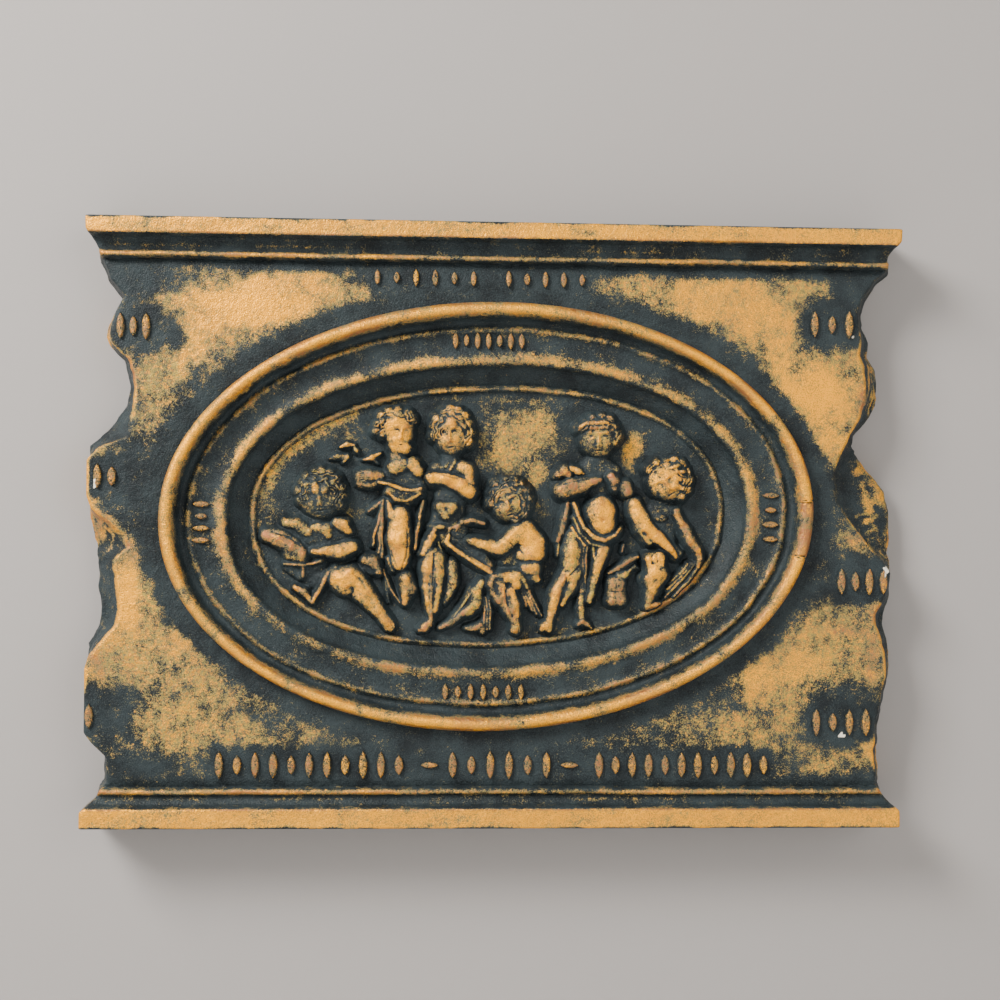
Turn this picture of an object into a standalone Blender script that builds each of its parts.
"""Relief wall plaque: a cast slab with broken side edges, mouldings above and below and a sunk oval of putti.

The plaque stands upright as on a wall. Its back lies in the plane y = 0, its face looks along -Y,
and the origin is the middle of its back. Lengths are metres.
"""
from bisect import bisect_right
from math import cos, pi, radians, sin

import bmesh
import bpy
from mathutils import Matrix, Vector

# Overall size
WIDTH = 0.258
HEIGHT = 0.190
FIELD_DEPTH = 0.0152

# Cornice along the top
CORNICE_FILLET = 0.0055
CORNICE_HOLLOW = 0.0045
CORNICE_BEAD = 0.0021

# Moulding along the base
BASE_FILLET = 0.0065
BASE_HOLLOW = 0.0032
BASE_BEAD = 0.0023

# How far each member of both mouldings stands out from the field
FILLET_RISE = 0.0063
HOLLOW_TOP_RISE = 0.0032
HOLLOW_FOOT_RISE = 0.0013
BEAD_RISE = 0.0028
QUIRK_SINK = 0.0004
QUIRK_WIDTH = 0.0022
ARRIS_ROUND = 0.0008
HOLLOW_STEPS = 3
BEAD_STEPS = 6

# Sunk oval: the ring, then its border inwards to the crest of the panel's thin ridge
OVAL_CENTRE_X = -0.0028
OVAL_CENTRE_Z = 0.0026
OVAL_TILT = radians(1.9)
RING_HALF_WIDTH = 0.1022
RING_HALF_HEIGHT = 0.0671
RING_WIDTH = 0.0052
FOOT_WIDTH = 0.0040
BAND_WIDTH = 0.0080
SLOPE_WIDTH = 0.0040
WALL_WIDTH = 0.0075
BORDER_HEIGHT_SHARE = 0.934
RING_RISE = 0.0043
RING_FOOT_SINK = 0.0010
THIN_RIDGE_RISE = 0.0011
THIN_RIDGE_WIDTH = 0.0024
BAND_SINK = 0.0020
SLOPE_RISE = 0.0010
GROOVE_SINK = 0.0030
PANEL_RIDGE_RISE = 0.0014
PANEL_RIDGE_WIDTH = 0.0018
PANEL_EDGE_DEPTH = 0.0072
PANEL_MIDDLE_DEPTH = 0.0064
BODY_UNDER_PANEL = 0.0030
RING_FULLNESS = 2.0
PANEL_FULLNESS = 2.25
OVAL_SIDES = 48

# Strokes that stand where the inscription is
STROKE_RISE = 0.0011
STROKE_ROOT = 0.0012
STROKE_TOP_SHARE = 0.62
SHORT_STROKE_SHARE = 0.72
LARGE_STROKE_OUTLINE = ((0.0, -0.5), (0.5, -0.26), (0.5, 0.26), (0.0, 0.5), (-0.5, 0.26), (-0.5, -0.26))
SMALL_STROKE_OUTLINE = ((0.0, -0.5), (0.5, 0.0), (0.0, 0.5), (-0.5, 0.0))
LARGE_STROKE_LENGTH = 0.0088
LARGE_STROKE_WIDTH = 0.0030
SMALL_STROKE_LENGTH = 0.0056
SMALL_STROKE_WIDTH = 0.0022
TOP_ROW_DROP = 0.0182
BASE_ROW_RISE = 0.0200

# The sheet that broken edges and rows of strokes are drawn on, in steps over the whole face
FACE_SHEET_WIDTH = 258.0
FACE_SHEET_HEIGHT = 190.0

# Broken edges: height above the middle, how far the back edge has broken in from the full width, and
# how much further in the front edge lies
LEFT_BREAK = (
    (95.0, 0.0, 0.6), (89.8, 0.3, 0.5), (87.2, 1.6, 0.5), (83.5, 4.2, 0.5), (79.0, 6.8, 0.5),
    (75.0, 8.0, 0.5), (70.0, 12.2, 0.5), (66.0, 10.3, 0.6), (62.0, 8.4, 0.6), (58.0, 7.5, 0.6),
    (54.5, 8.9, 0.6), (50.5, 12.9, 0.8), (46.0, 14.3, 1.2), (41.3, 15.0, 1.0), (36.0, 13.8, 1.8),
    (32.5, 10.9, 4.2), (29.0, 8.8, 6.0), (25.9, 5.6, 7.6), (23.0, 2.2, 3.0), (19.3, 0.0, 1.6),
    (9.3, 0.0, 1.2), (4.0, 1.3, 1.6), (0.0, 3.3, 4.6), (-4.0, 4.8, 8.6), (-8.0, 5.3, 9.0),
    (-12.0, 5.6, 4.2), (-20.0, 5.7, 5.5), (-27.0, 6.8, 5.4), (-32.0, 5.9, 5.0), (-36.0, 4.5, 3.0),
    (-41.0, 1.4, 1.5), (-46.0, 0.2, 0.9), (-50.0, 0.0, 0.7), (-55.0, 0.6, 0.5), (-64.5, 0.8, 0.5),
    (-68.0, 3.2, 0.5), (-72.7, 8.2, 0.5), (-80.5, 8.3, 0.5), (-84.7, 4.6, 0.5), (-88.5, 0.2, 0.5),
    (-95.0, 0.0, 0.6),
)
RIGHT_BREAK = (
    (95.0, 0.0, 0.6), (89.8, 0.4, 0.5), (85.5, 3.6, 0.5), (81.0, 5.4, 0.5), (78.0, 8.9, 0.5),
    (72.7, 12.6, 0.6), (68.0, 14.1, 0.6), (64.0, 13.5, 0.8), (59.3, 11.7, 1.6), (54.7, 11.8, 2.2),
    (50.7, 9.3, 3.2), (44.0, 8.6, 3.2), (39.3, 9.0, 3.6), (34.0, 11.8, 2.4), (29.3, 15.8, 1.2),
    (26.0, 16.9, 1.4), (22.7, 15.0, 5.2), (18.7, 12.3, 9.2), (14.7, 8.0, 14.0), (11.3, 5.8, 15.9),
    (7.3, 4.7, 16.0), (3.3, 4.1, 13.9), (0.0, 4.0, 11.3), (-3.3, 3.2, 9.5), (-6.7, 2.5, 7.5),
    (-10.7, 2.0, 4.2), (-14.0, 2.5, 1.2), (-21.3, 4.0, 1.2), (-27.3, 5.9, 2.4), (-30.7, 6.3, 2.0),
    (-35.0, 5.3, 1.4), (-41.3, 4.5, 0.7), (-47.0, 4.3, 0.7), (-52.7, 5.5, 1.0), (-59.3, 7.0, 0.7),
    (-63.0, 7.9, 0.7), (-67.0, 7.8, 0.6), (-71.3, 8.5, 0.6), (-76.7, 7.9, 0.6), (-82.0, 7.7, 0.5),
    (-86.0, 2.7, 0.5), (-88.5, 0.2, 0.5), (-95.0, 0.0, 0.6),
)
KNEE_DEPTH_SHARE = 0.45
KNEE_REACH_SHARE = 0.30

# Rows of strokes on the field: x of the first and last stroke, and how many
TOP_ROW = ((-38.0, -8.0, 6), (3.0, 26.0, 5))
BASE_ROW = ((-85.5, -30.0, 11), (-13.3, 16.0, 6), (32.5, 84.5, 11))
BASE_DASHES = (-20.5, 23.2)

# Short rows by the broken edges: height of the row, x of the first and last stroke, and how many
EDGE_ROWS = (
    (60.5, -117.0, -109.2, 3), (14.0, -123.6, -119.2, 2), (-60.0, -125.4, -125.4, 1),
    (64.0, 100.0, 111.0, 3), (-17.2, 109.0, 122.4, 4), (-61.6, 101.2, 117.0, 4),
)

# Rows on the band inside the ring, from the oval's middle: first and last stroke across or up
BAND_TOP_ROW = (-0.0107, 0.0100, 7)
BAND_FOOT_ROW = (-0.0130, 0.0106, 7)
BAND_LEFT_ROW = (0.0030, -0.0082, 4)
BAND_RIGHT_ROW = (0.0072, -0.0066, 4)

# The sheet that the figures are drawn on, in steps, which the panel and the relief's height scale
FIGURE_SHEET_X = -2.4
FIGURE_SHEET_Z = 2.6
FIGURE_SHEET_HALF_WIDTH = 73.5
FIGURE_SHEET_HALF_HEIGHT = 40.3
FIGURE_SHEET_RELIEF = 6.4
FIGURE_RELIEF = 0.0064
FIGURE_ROOT = 0.0010
FOOT_SPREAD = 1.06
FIGURE_GRAIN = 0.00045
FIGURE_FACE_SHARE = 0.0172
BALL_SIDES = 8
BALL_RINGS = 4
HEAD_SIDES = 12
HEAD_RINGS = 6
HEAD_DEPTH = 5.0
LOCK_RADIUS = 2.1
LOCK_REACH = 0.86
LOCK_DROP = 0.9

PLASTER_COLOUR = (0.33, 0.25, 0.13, 1.0)
PLASTER_ROUGHNESS = 0.55
PLASTER_METALLIC = 0.25

FLAT_ANGLE = radians(0.5)
QUARTER_TURN = pi / 2
POLE_TO_FRONT = Matrix.Rotation(QUARTER_TURN, 4, "X")


def clear_scene():
    """Remove every object of the scene."""
    for item in list(bpy.data.objects):
        bpy.data.objects.remove(item, do_unlink=True)


def make_collection(name):
    """Return a new collection linked to the scene."""
    collection = bpy.data.collections.new(name)
    bpy.context.scene.collection.children.link(collection)
    return collection


def patinated_plaster():
    """Return the plaque's material, gilt over dark plaster."""
    material = bpy.data.materials.new("patinated_plaster")
    material.use_nodes = True
    shader = material.node_tree.nodes["Principled BSDF"]
    shader.inputs["Base Color"].default_value = PLASTER_COLOUR
    shader.inputs["Roughness"].default_value = PLASTER_ROUGHNESS
    shader.inputs["Metallic"].default_value = PLASTER_METALLIC
    return material


def mesh_object(name, form, collection):
    """Turn a bmesh into a named object of a collection."""
    mesh = bpy.data.meshes.new(name)
    form.to_mesh(mesh)
    form.free()
    item = bpy.data.objects.new(name, mesh)
    collection.objects.link(item)
    return item


def loft(form, rings):
    """Join rings of equal point count, each to the next, and close the two ends."""
    loops = [[form.verts.new(point) for point in ring] for ring in rings]
    faces = [form.faces.new(loops[0]), form.faces.new(loops[-1])]
    for lower, upper in zip(loops, loops[1:]):
        for index in range(len(lower)):
            following = (index + 1) % len(lower)
            faces.append(form.faces.new((lower[index], lower[following], upper[following], upper[index])))
    bmesh.ops.recalc_face_normals(form, faces=faces)


def read_between(rows, place):
    """Read the values of sorted rows at a place between two of them, along straight lines."""
    places = [row[0] for row in rows]
    index = min(max(bisect_right(places, place), 1), len(rows) - 1)
    before, after = rows[index - 1], rows[index]
    share = (place - before[0]) / (after[0] - before[0])
    return [a + (b - a) * share for a, b in zip(before[1:], after[1:])]


def moulding_rows(fillet, hollow, bead):
    """Profile of one moulding: distance in from the plaque's edge, and depth from the back."""
    fillet_depth = FIELD_DEPTH + FILLET_RISE
    hollow_top = FIELD_DEPTH + HOLLOW_TOP_RISE
    hollow_foot = FIELD_DEPTH + HOLLOW_FOOT_RISE
    bead_swell = BEAD_RISE - HOLLOW_FOOT_RISE
    bead_start = fillet + hollow
    bead_end = bead_start + bead
    rows = [
        (0.0, fillet_depth - ARRIS_ROUND),
        (ARRIS_ROUND, fillet_depth),
        (fillet - ARRIS_ROUND, fillet_depth),
        (fillet - ARRIS_ROUND / 2, fillet_depth - ARRIS_ROUND / 2),
        (fillet, hollow_top),
    ]
    for step in range(1, HOLLOW_STEPS + 1):
        turn = step / HOLLOW_STEPS * QUARTER_TURN
        sink = (hollow_top - hollow_foot) * sin(turn)
        rows.append((fillet + hollow * (1.0 - cos(turn)), hollow_top - sink))
    for step in range(1, BEAD_STEPS):
        turn = step / BEAD_STEPS * pi
        rows.append((bead_start + bead * (1.0 - cos(turn)) / 2, hollow_foot + bead_swell * sin(turn)))
    rows.append((bead_end, FIELD_DEPTH - QUIRK_SINK))
    rows.append((bead_end + QUIRK_WIDTH, FIELD_DEPTH))
    return rows


def face_profile():
    """Depth of the plaque's face against height, from the base to the top."""
    base = moulding_rows(BASE_FILLET, BASE_HOLLOW, BASE_BEAD)
    cornice = moulding_rows(CORNICE_FILLET, CORNICE_HOLLOW, CORNICE_BEAD)
    below = [(-HEIGHT / 2 + reach, depth) for reach, depth in base]
    above = [(HEIGHT / 2 - reach, depth) for reach, depth in reversed(cornice)]
    return below + above


def break_rows(rows):
    """Turn a drawn break into metres, from the base to the top."""
    up = HEIGHT / FACE_SHEET_HEIGHT
    across = WIDTH / FACE_SHEET_WIDTH
    return [(height * up, reach * across, bevel * across) for height, reach, bevel in reversed(rows)]


def slab(collection):
    """The body: a loft up the plaque of sections that follow the face profile and both broken edges."""
    profile = face_profile()
    left, right = break_rows(LEFT_BREAK), break_rows(RIGHT_BREAK)
    least_step = ARRIS_ROUND / 4
    heights = []
    for height in sorted(row[0] for row in profile + left + right):
        if not heights or height - heights[-1] > least_step:
            heights.append(height)
    rings = []
    for height in heights:
        depth = read_between(profile, height)[0]
        left_reach, left_bevel = read_between(left, height)
        right_reach, right_bevel = read_between(right, height)
        left_edge = -WIDTH / 2 + left_reach
        right_edge = WIDTH / 2 - right_reach
        knee = -depth * KNEE_DEPTH_SHARE
        rings.append([
            (left_edge, 0.0, height),
            (left_edge + left_bevel * KNEE_REACH_SHARE, knee, height),
            (left_edge + left_bevel, -depth, height),
            (right_edge - right_bevel, -depth, height),
            (right_edge - right_bevel * KNEE_REACH_SHARE, knee, height),
            (right_edge, 0.0, height),
        ])
    form = bmesh.new()
    loft(form, rings)
    bmesh.ops.dissolve_limit(form, angle_limit=FLAT_ANGLE, verts=form.verts, edges=form.edges)
    return mesh_object("relief_plaque", form, collection)


def oval_loop(half_width, half_height, depth, fullness):
    """Points of one oval of the medallion at a depth from the back."""
    turned = Matrix.Rotation(-OVAL_TILT, 3, "Y")
    centre = Vector((OVAL_CENTRE_X, 0.0, OVAL_CENTRE_Z))
    points = []
    for index in range(OVAL_SIDES):
        turn = 2 * pi * (index + 0.5) / OVAL_SIDES
        across, up = cos(turn), sin(turn)
        x = half_width * (1 if across > 0 else -1) * abs(across) ** (2 / fullness)
        z = half_height * (1 if up > 0 else -1) * abs(up) ** (2 / fullness)
        points.append(centre + turned @ Vector((x, -depth, z)))
    return points


def border_width():
    """Distance from the ring's outer foot to the crest of the panel's thin ridge."""
    return RING_WIDTH + FOOT_WIDTH + BAND_WIDTH + SLOPE_WIDTH + WALL_WIDTH


def panel_half_sizes():
    """Half width and half height of the panel inside its thin ridge."""
    inset = border_width()
    return RING_HALF_WIDTH - inset, RING_HALF_HEIGHT - inset * BORDER_HEIGHT_SHARE


def border_loop(inset, depth):
    """An oval that lies a distance in from the ring's outer foot."""
    fullness = RING_FULLNESS + (PANEL_FULLNESS - RING_FULLNESS) * inset / border_width()
    half_height = RING_HALF_HEIGHT - inset * BORDER_HEIGHT_SHARE
    return oval_loop(RING_HALF_WIDTH - inset, half_height, depth, fullness)


def medallion(collection):
    """The ring, the band for the words, the steep wall and the dished panel, as one loft of ovals."""
    band = FIELD_DEPTH - BAND_SINK
    slope_crest = band + SLOPE_RISE
    thin_ridge = RING_WIDTH + FOOT_WIDTH
    slope_start = thin_ridge + BAND_WIDTH
    slope_end = slope_start + SLOPE_WIDTH
    edge = border_width()
    middle_width, middle_height = panel_half_sizes()
    rings = [
        border_loop(0.0, BODY_UNDER_PANEL / 2),
        border_loop(0.0, FIELD_DEPTH + RING_RISE * 0.15),
        border_loop(RING_WIDTH * 0.22, FIELD_DEPTH + RING_RISE * 0.78),
        border_loop(RING_WIDTH * 0.5, FIELD_DEPTH + RING_RISE),
        border_loop(RING_WIDTH * 0.8, FIELD_DEPTH + RING_RISE * 0.72),
        border_loop(RING_WIDTH, FIELD_DEPTH - RING_FOOT_SINK),
        border_loop(thin_ridge - THIN_RIDGE_WIDTH / 2, band),
        border_loop(thin_ridge, band + THIN_RIDGE_RISE),
        border_loop(thin_ridge + THIN_RIDGE_WIDTH / 2, band),
        border_loop(slope_start, band),
        border_loop(slope_start + SLOPE_WIDTH * 0.6, slope_crest),
        border_loop(slope_end, slope_crest - GROOVE_SINK * 0.25),
        border_loop(slope_end + WALL_WIDTH * 0.08, slope_crest - GROOVE_SINK),
        border_loop(edge - WALL_WIDTH * 0.4, PANEL_EDGE_DEPTH + PANEL_RIDGE_RISE),
        border_loop(edge - PANEL_RIDGE_WIDTH / 2, PANEL_EDGE_DEPTH),
        border_loop(edge, PANEL_EDGE_DEPTH + PANEL_RIDGE_RISE),
        border_loop(edge + PANEL_RIDGE_WIDTH / 2, PANEL_EDGE_DEPTH),
        oval_loop(middle_width * 0.62, middle_height * 0.62, PANEL_MIDDLE_DEPTH, RING_FULLNESS),
    ]
    form = bmesh.new()
    loft(form, rings)
    return mesh_object("medallion_form", form, collection)


def pocket(collection):
    """The oval well that the medallion form fills."""
    lap = RING_WIDTH * 0.1
    form = bmesh.new()
    loft(form, [border_loop(lap, BODY_UNDER_PANEL), border_loop(lap, FIELD_DEPTH + RING_RISE)])
    return mesh_object("medallion_pocket", form, collection)


class Relief:
    """Gathers the rounded forms of the figures, each of which stands on the panel without an undercut."""

    def __init__(self):
        self.form = bmesh.new()
        half_width, half_height = panel_half_sizes()
        self.across = half_width / FIGURE_SHEET_HALF_WIDTH
        self.up = half_height / FIGURE_SHEET_HALF_HEIGHT
        self.out = FIGURE_RELIEF / FIGURE_SHEET_RELIEF

    def place(self, point, depth):
        """The move to a point of the drawing sheet at a depth from the plaque's back."""
        x = OVAL_CENTRE_X + (point[0] - FIGURE_SHEET_X) * self.across
        z = OVAL_CENTRE_Z + (point[1] - FIGURE_SHEET_Z) * self.up
        return Matrix.Translation((x, -depth, z))

    def add_ball(self, cloud, point, half_sizes, top, turn=0.0, sides=BALL_SIDES, rings=BALL_RINGS):
        """Put the points of a ball, and of its foot in the panel, into a cloud of points."""
        half_width, half_depth, half_height = half_sizes
        spin = Matrix.Rotation(radians(-turn), 4, "Y")
        size = Matrix.Diagonal((half_width * self.across, half_depth * self.out, half_height * self.up, 1.0))
        middle = PANEL_MIDDLE_DEPTH + max(top - half_depth, 0.0) * self.out
        bmesh.ops.create_uvsphere(
            cloud, u_segments=sides, v_segments=rings, radius=1.0,
            matrix=self.place(point, middle) @ spin @ size @ POLE_TO_FRONT,
        )
        bmesh.ops.create_circle(
            cloud, segments=sides, radius=FOOT_SPREAD,
            matrix=self.place(point, PANEL_MIDDLE_DEPTH - FIGURE_ROOT) @ spin @ size @ POLE_TO_FRONT,
        )

    def stretch_skin(self, cloud):
        """Stretch one closed skin over the points of a cloud that are above the root, and keep it."""
        skin = bmesh.new()
        for vert in cloud.verts:
            if -vert.co.y > PANEL_MIDDLE_DEPTH - FIGURE_ROOT * 1.01:
                skin.verts.new(vert.co)
        cloud.free()
        bmesh.ops.convex_hull(skin, input=skin.verts)
        inner = [vert for vert in skin.verts if not vert.link_faces]
        bmesh.ops.delete(skin, geom=inner, context="VERTS")
        hull = bpy.data.meshes.new("hull")
        skin.to_mesh(hull)
        skin.free()
        self.form.from_mesh(hull)
        bpy.data.meshes.remove(hull)

    def egg(self, point, half_width, half_height, top, turn=0.0):
        """An egg form; its half sizes and its top above the panel are steps of the sheet."""
        cloud = bmesh.new()
        self.add_ball(cloud, point, (half_width, min(half_width, half_height), half_height), top, turn)
        self.stretch_skin(cloud)

    def round_form(self, point, half_width, half_height, top, turn=0.0):
        """A large egg form, such as a head or a belly, with finer facets."""
        cloud = bmesh.new()
        half_sizes = (half_width, HEAD_DEPTH, half_height)
        self.add_ball(cloud, point, half_sizes, top, turn, HEAD_SIDES, HEAD_RINGS)
        self.stretch_skin(cloud)

    def mass(self, *balls):
        """The skin stretched over balls, each given as point, radius and top above the panel."""
        cloud = bmesh.new()
        for point, radius, top in balls:
            self.add_ball(cloud, point, (radius, radius, radius), top)
        self.stretch_skin(cloud)

    def chain(self, *balls):
        """A limb through several joints, thick or thin at each."""
        for first, second in zip(balls, balls[1:]):
            self.mass(first, second)

    def head(self, centre, half_width, half_height, top, hair):
        """A head with locks of hair along an arc, given as first angle, last angle and count."""
        self.round_form(centre, half_width, half_height, top)
        first, last, count = hair
        for index in range(count):
            turn = radians(first + (last - first) * index / (count - 1))
            x = centre[0] + half_width * LOCK_REACH * cos(turn)
            z = centre[1] + half_height * LOCK_REACH * sin(turn)
            self.egg((x, z), LOCK_RADIUS, LOCK_RADIUS, top - LOCK_DROP)


def seated_reader(relief):
    """The putto seated at the far left, arms folded over a book, with leaves above the head."""
    relief.head((-55.0, 8.8), 6.8, 7.4, 6.2, (-30.0, 205.0, 9))
    relief.mass(((-63.6, -0.8), 3.2, 4.2), ((-55.0, -3.6), 5.2, 4.6), ((-48.6, -2.2), 3.0, 4.2))
    relief.chain(
        ((-66.0, -1.4), 2.7, 4.2), ((-70.6, -4.4), 2.5, 4.2), ((-64.2, -7.2), 2.8, 5.0),
        ((-60.8, -10.2), 2.1, 5.0),
    )
    relief.chain(
        ((-47.6, -1.4), 2.4, 4.4), ((-45.0, -6.4), 2.0, 4.4), ((-50.0, -8.6), 2.0, 5.2),
        ((-56.4, -9.2), 1.5, 5.2),
    )
    relief.mass(((-65.4, -12.8), 0.9, 3.4), ((-55.2, -12.4), 0.9, 3.4), ((-61.2, -16.6), 0.9, 3.0))
    relief.egg((-56.0, -15.4), 6.2, 5.0, 2.2)
    relief.mass(((-64.2, -20.2), 0.9, 2.4), ((-58.4, -20.8), 0.9, 2.6), ((-57.4, -24.2), 0.9, 2.2))
    relief.chain(((-57.2, -24.3), 1.0, 2.4), ((-54.0, -18.0), 1.0, 2.8), ((-50.6, -13.8), 1.1, 3.2))
    relief.mass(((-48.6, -16.8), 3.6, 5.8), ((-47.6, -19.0), 3.2, 5.4))
    relief.chain(
        ((-44.6, -16.4), 3.0, 5.0), ((-41.8, -21.6), 3.1, 4.8), ((-36.9, -27.6), 2.0, 3.8),
        ((-33.8, -31.0), 2.1, 3.6),
    )
    relief.chain(((-41.2, -12.0), 2.1, 4.4), ((-38.4, -12.6), 2.3, 4.6), ((-37.0, -15.2), 1.9, 4.2))
    relief.egg((-47.4, 24.0), 2.5, 1.2, 1.7, turn=20.0)
    relief.egg((-44.2, 22.6), 2.0, 1.1, 1.6, turn=-60.0)
    relief.egg((-49.0, 20.2), 2.6, 1.5, 1.8)
    relief.egg((-38.6, 20.6), 2.6, 1.2, 1.6, turn=25.0)


def bowl_bearer(relief):
    """The draped figure that carries a bowl."""
    relief.head((-30.9, 29.2), 4.6, 6.8, 6.0, (20.0, 200.0, 6))
    relief.egg((-36.4, 29.6), 2.6, 3.5, 4.8)
    relief.chain(((-31.2, 22.6), 2.5, 4.2), ((-30.6, 19.0), 2.6, 4.6))
    relief.mass(((-31.4, 17.9), 2.6, 4.8), ((-25.8, 17.4), 2.9, 5.0), ((-28.6, 13.4), 2.6, 3.4))
    relief.chain(((-33.2, 17.2), 2.0, 3.6), ((-38.2, 15.0), 1.9, 4.4), ((-41.8, 14.4), 2.3, 4.6))
    relief.chain(((-24.6, 16.2), 2.1, 4.2), ((-23.3, 11.8), 1.9, 4.4))
    relief.chain(((-36.2, 12.6), 0.9, 4.6), ((-30.2, 10.9), 1.0, 5.0), ((-24.0, 10.9), 1.0, 5.0))
    relief.mass(
        ((-34.0, 11.0), 1.3, 4.4), ((-31.4, 8.6), 1.5, 4.4), ((-27.0, 8.4), 1.5, 4.4),
        ((-25.0, 9.8), 1.3, 4.4),
    )
    relief.mass(((-30.6, 3.4), 2.9, 4.0), ((-30.6, -5.8), 3.7, 5.0), ((-30.4, -12.4), 2.4, 4.2))
    relief.chain(((-33.9, 6.0), 0.9, 3.4), ((-32.4, 2.0), 1.2, 3.8))
    relief.mass(((-28.2, -16.4), 2.4, 4.0), ((-27.8, -20.4), 2.4, 4.2), ((-28.8, -25.0), 1.4, 3.2))
    for foot in ((-40.2, 4.4), (-39.2, -7.8), (-37.2, -8.4), (-34.9, -14.4)):
        relief.chain(((-35.0, 7.4), 0.9, 2.8), (foot, 0.9, 2.2))
    relief.chain(((-23.4, 7.0), 1.0, 2.8), ((-25.5, -7.2), 1.1, 2.8))
    relief.chain(((-35.0, -14.3), 1.0, 2.4), ((-30.4, -24.3), 1.0, 2.6))


def standing_putto(relief):
    """The putto that stands facing out, one arm across the chest."""
    relief.head((-14.5, 28.8), 5.8, 7.2, 6.4, (-15.0, 205.0, 9))
    relief.chain(((-14.8, 22.4), 2.7, 4.0), ((-14.4, 18.6), 2.9, 4.0))
    relief.mass(((-19.0, 16.4), 2.6, 3.6), ((-10.4, 17.2), 2.8, 4.6), ((-14.6, 12.0), 4.0, 4.2))
    relief.chain(
        ((-10.0, 17.2), 2.6, 4.8), ((-8.8, 12.4), 2.6, 5.2), ((-9.6, 10.2), 2.8, 5.8),
        ((-14.6, 12.6), 2.6, 6.0), ((-20.4, 14.3), 1.9, 5.6),
    )
    relief.mass(
        ((-15.2, 8.4), 3.8, 4.0), ((-15.8, 4.4), 3.9, 5.2), ((-17.8, -1.4), 3.2, 4.0),
        ((-13.2, -1.4), 3.0, 3.8),
    )
    relief.egg((-17.9, -1.0), 2.0, 1.4, 5.0)
    relief.chain(((-19.8, -3.2), 1.9, 5.0), ((-22.6, -8.2), 1.8, 4.8))
    relief.chain(
        ((-20.8, -9.4), 2.6, 4.8), ((-21.4, -14.4), 2.3, 5.0), ((-21.4, -20.4), 2.1, 4.6),
        ((-20.8, -26.0), 1.6, 4.0), ((-20.6, -29.6), 1.2, 3.2), ((-22.4, -32.2), 1.8, 3.2),
    )
    relief.chain(
        ((-18.6, -9.4), 2.4, 4.8), ((-17.9, -14.0), 2.0, 4.8), ((-18.4, -20.6), 1.8, 4.4),
        ((-19.6, -27.0), 1.4, 3.6),
    )
    relief.chain(
        ((-14.0, -4.6), 2.8, 3.6), ((-12.8, -12.0), 2.0, 3.8), ((-13.5, -18.4), 2.2, 4.0),
        ((-15.8, -24.8), 1.5, 2.8),
    )


def seated_writer(relief):
    """The putto seated in the middle, who leans over a tablet."""
    relief.head((3.9, 7.6), 6.2, 6.6, 6.6, (-60.0, 210.0, 10))
    relief.mass(
        ((8.0, -1.2), 3.4, 5.0), ((11.8, -4.8), 3.3, 5.0), ((11.9, -9.4), 3.2, 5.0),
        ((6.4, -6.0), 3.0, 3.6),
    )
    relief.chain(((10.8, -13.8), 3.0, 5.0), ((5.2, -16.6), 3.2, 5.4), ((0.2, -18.4), 2.8, 5.6))
    relief.chain(((6.6, -1.8), 3.1, 5.6), ((1.2, -7.0), 2.6, 5.8), ((-7.8, -6.0), 1.9, 5.2))
    relief.chain(
        ((-1.4, -0.8), 1.5, 2.8), ((-5.2, 0.0), 1.4, 3.0), ((-10.4, 1.0), 1.3, 3.2),
        ((-14.4, -1.4), 1.2, 3.0),
    )
    relief.mass(
        ((-15.9, -5.9), 0.8, 4.2), ((-14.4, -3.6), 0.8, 3.6), ((-1.0, -14.6), 0.9, 4.8),
        ((-1.4, -13.0), 0.8, 4.4),
    )
    relief.chain(
        ((0.6, -19.0), 2.9, 5.2), ((3.8, -24.8), 3.0, 5.2), ((5.8, -29.2), 1.7, 4.0),
        ((5.7, -32.2), 2.1, 3.6),
    )
    relief.chain(
        ((-4.8, -17.8), 2.2, 4.2), ((-6.8, -22.6), 2.7, 4.8), ((-12.6, -29.6), 1.7, 3.6),
        ((-17.8, -32.4), 1.2, 2.8),
    )
    relief.mass(((-8.2, -32.8), 1.4, 2.8), ((-4.0, -32.8), 1.6, 3.0))
    relief.chain(((-3.2, -22.6), 1.1, 2.6), ((-3.0, -32.0), 1.3, 2.6))
    relief.chain(((8.2, -17.0), 1.2, 3.4), ((13.8, -28.6), 1.1, 2.2))
    relief.chain(((7.6, -18.6), 1.0, 2.8), ((10.4, -25.4), 0.9, 2.0))


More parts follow.
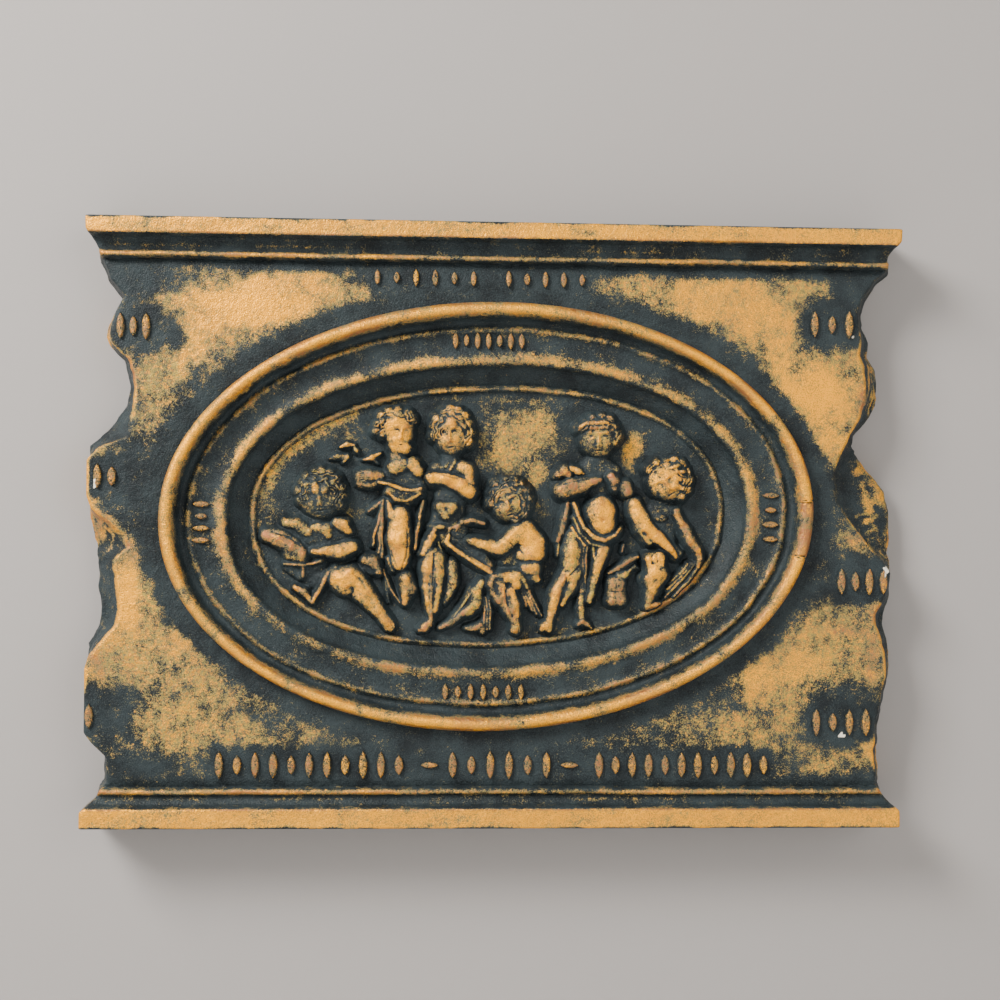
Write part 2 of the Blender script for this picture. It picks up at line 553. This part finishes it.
def draped_putto(relief):
    """The putto that stands with a band round the head and a cloth below the belly."""
    relief.head((31.6, 27.8), 6.0, 6.6, 6.4, (-10.0, 185.0, 8))
    relief.chain(((26.0, 31.0), 1.1, 5.6), ((37.6, 30.0), 1.1, 5.6))
    relief.chain(((31.4, 21.4), 2.7, 3.8), ((32.0, 18.4), 2.8, 3.8))
    relief.mass(((25.4, 16.8), 2.2, 3.2), ((37.2, 16.6), 2.4, 3.4), ((32.0, 12.4), 4.0, 4.0))
    relief.chain(((19.2, 16.6), 1.9, 4.8), ((21.8, 16.4), 1.9, 4.6), ((24.6, 17.2), 1.4, 4.0))
    relief.chain(
        ((20.8, 11.0), 2.9, 5.2), ((27.0, 12.6), 2.4, 5.6), ((32.4, 14.0), 1.7, 5.4),
        ((36.0, 13.6), 2.0, 5.6),
    )
    relief.chain(((39.0, 15.2), 2.0, 3.8), ((40.2, 11.3), 2.1, 4.6))
    relief.round_form((32.7, 3.0), 5.6, 7.0, 6.2)
    relief.chain(
        ((24.3, 7.0), 1.1, 3.6), ((26.2, 1.8), 1.2, 4.2), ((29.2, -2.8), 1.3, 5.0), ((33.6, -4.7), 1.3, 5.4),
        ((38.0, -2.2), 1.1, 4.2),
    )
    relief.chain(((22.2, 6.8), 1.1, 3.2), ((20.4, 0.0), 1.4, 3.4), ((19.2, -5.0), 1.5, 3.2))
    relief.chain(((23.6, -3.6), 2.7, 4.4), ((23.2, -8.8), 3.1, 5.2), ((23.0, -14.2), 2.7, 5.0))
    relief.chain(
        ((21.6, -15.8), 2.4, 4.8), ((18.8, -21.0), 2.0, 4.4), ((17.0, -29.6), 1.4, 3.4),
        ((15.6, -31.9), 1.9, 3.2),
    )
    relief.chain(((24.4, -15.8), 2.2, 4.4), ((23.4, -19.4), 2.0, 4.0), ((20.4, -25.4), 1.5, 3.2))
    relief.chain(
        ((33.6, -6.4), 2.2, 4.6), ((31.8, -13.4), 2.0, 4.8), ((30.2, -18.0), 1.6, 4.0),
        ((29.0, -24.4), 1.3, 3.4),
    )
    relief.chain(((26.6, -22.0), 1.3, 2.6), ((26.2, -28.6), 1.4, 3.0))
    relief.mass(((26.2, -31.0), 1.6, 3.2), ((28.8, -31.2), 1.4, 3.0))
    relief.chain(((27.4, -5.6), 1.2, 3.6), ((27.2, -18.0), 1.1, 2.8))
    relief.chain(((29.2, -5.8), 1.1, 3.6), ((30.4, -13.6), 1.0, 3.4))


def vase(relief):
    """The small vase and its strap between the last two putti."""
    relief.mass(
        ((36.0, -18.0), 1.8, 3.6), ((38.9, -18.0), 1.8, 3.6), ((36.2, -23.8), 1.9, 4.0),
        ((38.8, -23.8), 1.9, 4.0),
    )
    relief.chain(((35.4, -14.7), 1.0, 2.8), ((40.8, -10.8), 1.1, 3.2), ((44.4, -9.6), 1.0, 3.0))
    relief.chain(((40.4, -16.4), 1.0, 3.0), ((44.2, -13.4), 1.0, 2.6))


def leaning_putto(relief):
    """The putto that leans in at the right."""
    relief.head((53.6, 14.4), 6.8, 6.5, 6.4, (-40.0, 170.0, 9))
    relief.chain(
        ((43.2, 7.0), 2.4, 5.2), ((45.4, 2.2), 2.7, 5.8), ((47.4, -1.6), 2.6, 5.8),
        ((56.0, -9.0), 1.7, 4.8),
    )
    relief.mass(((50.6, 4.2), 3.4, 3.0), ((54.6, 3.8), 3.0, 3.0), ((53.4, -5.0), 3.6, 3.4))
    relief.chain(
        ((56.6, 4.4), 1.6, 3.6), ((59.2, -1.6), 2.2, 4.2), ((61.9, -5.2), 2.3, 4.6), ((63.3, -9.0), 1.7, 3.8),
        ((63.4, -12.4), 1.5, 3.2),
    )
    relief.mass(((49.6, -9.8), 2.6, 5.2), ((49.6, -14.6), 3.7, 5.6), ((48.6, -19.8), 2.4, 4.6))
    relief.chain(((48.2, -20.4), 2.0, 4.2), ((47.6, -25.0), 1.7, 3.4), ((50.4, -25.0), 1.3, 3.0))
    relief.chain(((62.4, -12.4), 1.0, 2.8), ((53.2, -22.4), 1.0, 2.4))
    relief.chain(((59.8, -12.0), 1.0, 2.8), ((54.0, -18.4), 1.0, 2.4))


def figures(collection):
    """All the figures of the panel, melted into one skin and thinned to few facets."""
    relief = Relief()
    seated_reader(relief)
    bowl_bearer(relief)
    standing_putto(relief)
    seated_writer(relief)
    draped_putto(relief)
    vase(relief)
    leaning_putto(relief)
    item = mesh_object("figure_forms", relief.form, collection)
    melt = item.modifiers.new("melt", "REMESH")
    melt.mode = "VOXEL"
    melt.voxel_size = FIGURE_GRAIN
    thin = item.modifiers.new("thin", "DECIMATE")
    thin.ratio = FIGURE_FACE_SHARE
    return item


def stroke(form, x, z, ground, length, width, lean):
    """One raised stroke, pointed at both ends and narrower at its top."""
    outline = LARGE_STROKE_OUTLINE if width > SMALL_STROKE_WIDTH else SMALL_STROKE_OUTLINE
    turned = Matrix.Rotation(radians(-lean), 3, "Y")
    taper = (1.0 + STROKE_TOP_SHARE) / 2
    rings = []
    for depth, narrow, shorten in (
        (ground - STROKE_ROOT, 1.0, 1.0),
        (ground + STROKE_RISE, STROKE_TOP_SHARE, taper),
    ):
        ring = []
        for across, along in outline:
            flat = turned @ Vector((across * width * narrow, 0.0, along * length * shorten))
            ring.append((x + flat.x, -depth, z + flat.z))
        rings.append(ring)
    loft(form, rings)


def stroke_row(form, start, end, count, ground, size, lean=0.0):
    """Strokes at even steps from one point to another, every third one short."""
    length, width = size
    for index in range(count):
        share = index / max(count - 1, 1)
        x = start[0] + (end[0] - start[0]) * share
        z = start[1] + (end[1] - start[1]) * share
        stroke_length = length * (SHORT_STROKE_SHARE if index % 3 == 1 else 1.0)
        stroke(form, x, z, ground, stroke_length, width, lean)


def field_strokes(form):
    """The rows above and below the oval and the short rows by the broken edges."""
    across = WIDTH / FACE_SHEET_WIDTH
    up = HEIGHT / FACE_SHEET_HEIGHT
    large = (LARGE_STROKE_LENGTH, LARGE_STROKE_WIDTH)
    small = (SMALL_STROKE_LENGTH, SMALL_STROKE_WIDTH)
    top_z = HEIGHT / 2 - TOP_ROW_DROP
    base_z = -HEIGHT / 2 + BASE_ROW_RISE
    for first, last, count in TOP_ROW:
        stroke_row(form, (first * across, top_z), (last * across, top_z), count, FIELD_DEPTH, small)
    for first, last, count in BASE_ROW:
        stroke_row(form, (first * across, base_z), (last * across, base_z), count, FIELD_DEPTH, large)
    for x in BASE_DASHES:
        stroke(form, x * across, base_z, FIELD_DEPTH, SMALL_STROKE_LENGTH, SMALL_STROKE_WIDTH, 90.0)
    for height, first, last, count in EDGE_ROWS:
        z = height * up
        stroke_row(form, (first * across, z), (last * across, z), count, FIELD_DEPTH, large)


def band_strokes(form):
    """The four short rows on the band inside the ring."""
    small = (SMALL_STROKE_LENGTH, SMALL_STROKE_WIDTH)
    ground = FIELD_DEPTH - BAND_SINK
    inset = RING_WIDTH + FOOT_WIDTH + BAND_WIDTH / 2
    reach = RING_HALF_WIDTH - inset
    rise = RING_HALF_HEIGHT - inset * BORDER_HEIGHT_SHARE
    for (first, last, count), side in ((BAND_TOP_ROW, 1), (BAND_FOOT_ROW, -1)):
        z = OVAL_CENTRE_Z + rise * side
        start, end = (OVAL_CENTRE_X + first, z), (OVAL_CENTRE_X + last, z)
        stroke_row(form, start, end, count, ground, small)
    for (first, last, count), side in ((BAND_LEFT_ROW, -1), (BAND_RIGHT_ROW, 1)):
        x = OVAL_CENTRE_X + reach * side
        start, end = (x, OVAL_CENTRE_Z + first), (x, OVAL_CENTRE_Z + last)
        stroke_row(form, start, end, count, ground, small, lean=90.0)


def inscription(collection):
    """Rows of strokes where the plaque carries its words."""
    form = bmesh.new()
    field_strokes(form)
    band_strokes(form)
    return mesh_object("inscription_forms", form, collection)


def combine(target, operand, operation):
    """Cut or join with another closed form, which then only guides."""
    modifier = target.modifiers.new(operand.name, "BOOLEAN")
    modifier.operation = operation
    modifier.solver = "EXACT"
    modifier.object = operand
    operand.hide_render = True
    operand.display_type = "WIRE"


def main():
    """Build the plaque."""
    clear_scene()
    parts = make_collection("relief_wall_plaque")
    guides = make_collection("cutters")
    plaque = slab(parts)
    plaque.data.materials.append(patinated_plaster())
    combine(plaque, pocket(guides), "DIFFERENCE")
    combine(plaque, medallion(guides), "UNION")
    combine(plaque, inscription(guides), "UNION")
    combine(plaque, figures(guides), "UNION")


main()
